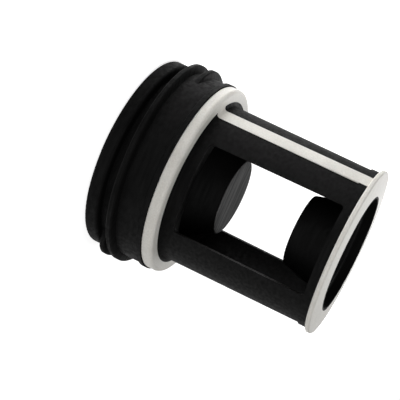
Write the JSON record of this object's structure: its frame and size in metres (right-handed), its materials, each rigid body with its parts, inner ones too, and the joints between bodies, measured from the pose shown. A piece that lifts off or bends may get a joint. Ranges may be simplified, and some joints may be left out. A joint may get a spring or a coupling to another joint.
{
  "type": "washer pump filter",
  "caption": "Screw-in drain pump filter of a washing machine: black cage with two windows, inner cone and end funnel, threaded head with a finger grip, white moulded-on seal.",
  "frame": {"origin": "centre of the head's rim, on the surface that the filter stands on", "axes": "+Z along the filter's axis from the head to the open end; the cage windows face -Y and +Y; the grip bar runs along Y"},
  "size_m": [0.059, 0.059, 0.0661],
  "materials": {
    "black_plastic": "satin",
    "white_elastomer": "matte"
  },
  "bodies": {
    "root": {"filter_body": "black_plastic", "seal": "white_elastomer"}
  },
  "joints": []
}
